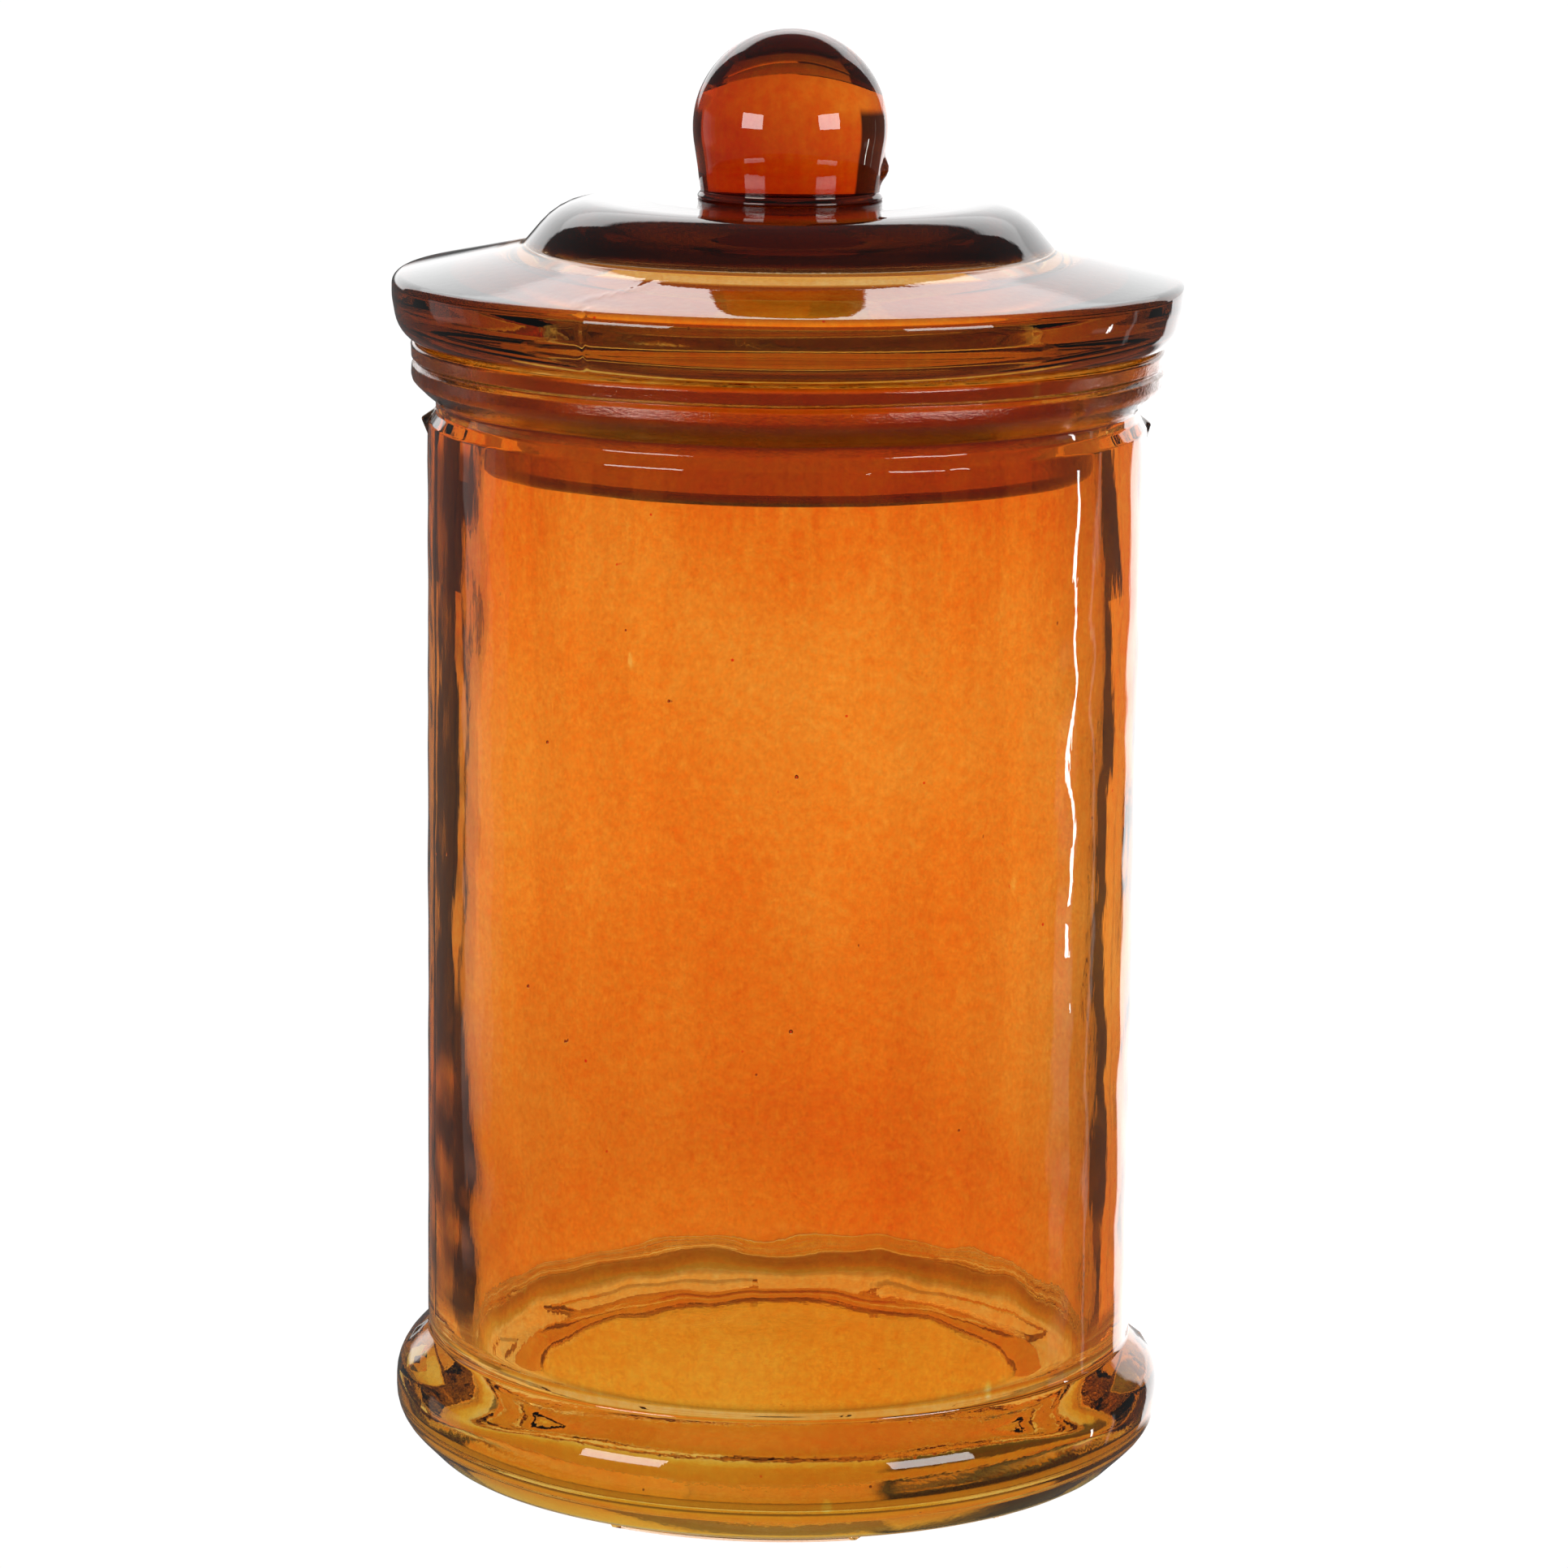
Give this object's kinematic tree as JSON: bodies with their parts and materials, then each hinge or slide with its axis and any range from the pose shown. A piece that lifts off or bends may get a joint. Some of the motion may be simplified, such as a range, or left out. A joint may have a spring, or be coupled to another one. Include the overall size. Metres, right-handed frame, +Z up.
{
  "type": "apothecary jar",
  "caption": "Straight-sided glass apothecary jar with a heavy rounded foot, a beaded mouth and a lift-off domed lid with a hollow plug and a solid ball knob.",
  "frame": {"origin": "on the jar's axis, in the plane of the bearing pads that it stands on", "axes": "+Z up along the jar's axis, -Y towards the viewer, +X to the viewer's right"},
  "size_m": [0.1, 0.1, 0.1835],
  "materials": {
    "vessel_glass": "gloss",
    "lid_glass": "gloss",
    "knob_glass": "gloss"
  },
  "bodies": {
    "jar": {"jar_body": "vessel_glass"},
    "lid_assembly": {"lid": "lid_glass", "lid_knob": "knob_glass"}
  },
  "joints": [
    {"name": "lid_lift", "type": "slide", "parent": "jar", "child": "lid_assembly", "axis": [0, 0, 1], "range_m": [0, 0.08]}
  ]
}
